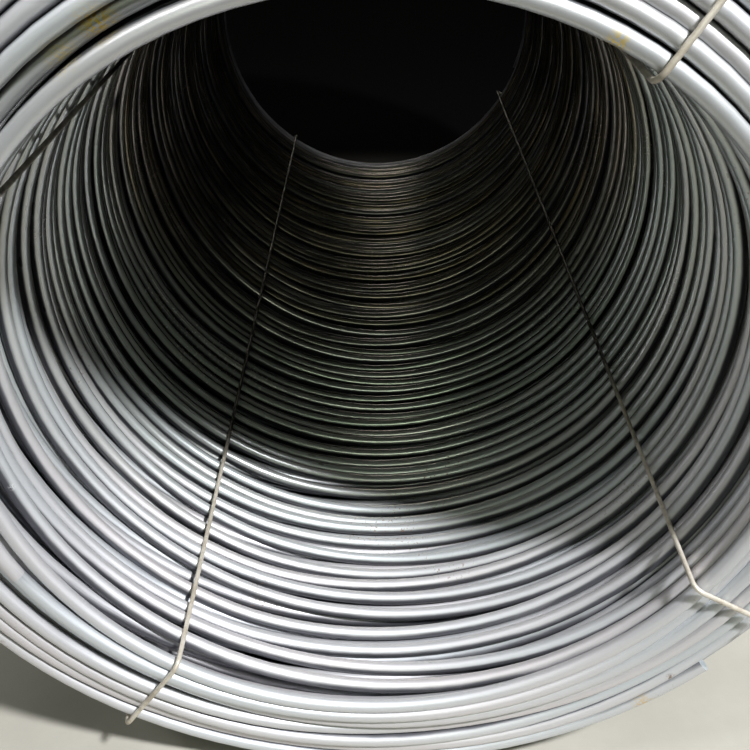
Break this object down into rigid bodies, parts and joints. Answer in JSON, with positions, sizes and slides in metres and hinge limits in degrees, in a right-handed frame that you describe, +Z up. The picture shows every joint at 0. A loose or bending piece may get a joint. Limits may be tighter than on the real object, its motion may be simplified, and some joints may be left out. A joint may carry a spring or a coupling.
{
  "type": "coil of wire rod",
  "caption": "Coil of hot rolled steel wire rod lying on its side, with an open bore and tie wires round its wall.",
  "frame": {"origin": "on the floor under the middle of the coil, at the bottom centre of its box", "axes": "+Z up, Y along the bore, with the mouth that the picture shows at -Y and +X on its right"},
  "size_m": [1.1138, 2.0132, 1.1138],
  "materials": {
    "rolled_rod": "hot rolled and descaled steel, blue-grey with a soft shine along each turn",
    "tie_wire": "dull pale annealed steel wire"
  },
  "bodies": {
    "root": {"rod_coil": "rolled_rod", "tie_wire_upper_right": "tie_wire", "tie_wire_upper_left": "tie_wire", "tie_wire_lower_left": "tie_wire", "tie_wire_lower_right": "tie_wire"}
  },
  "joints": []
}
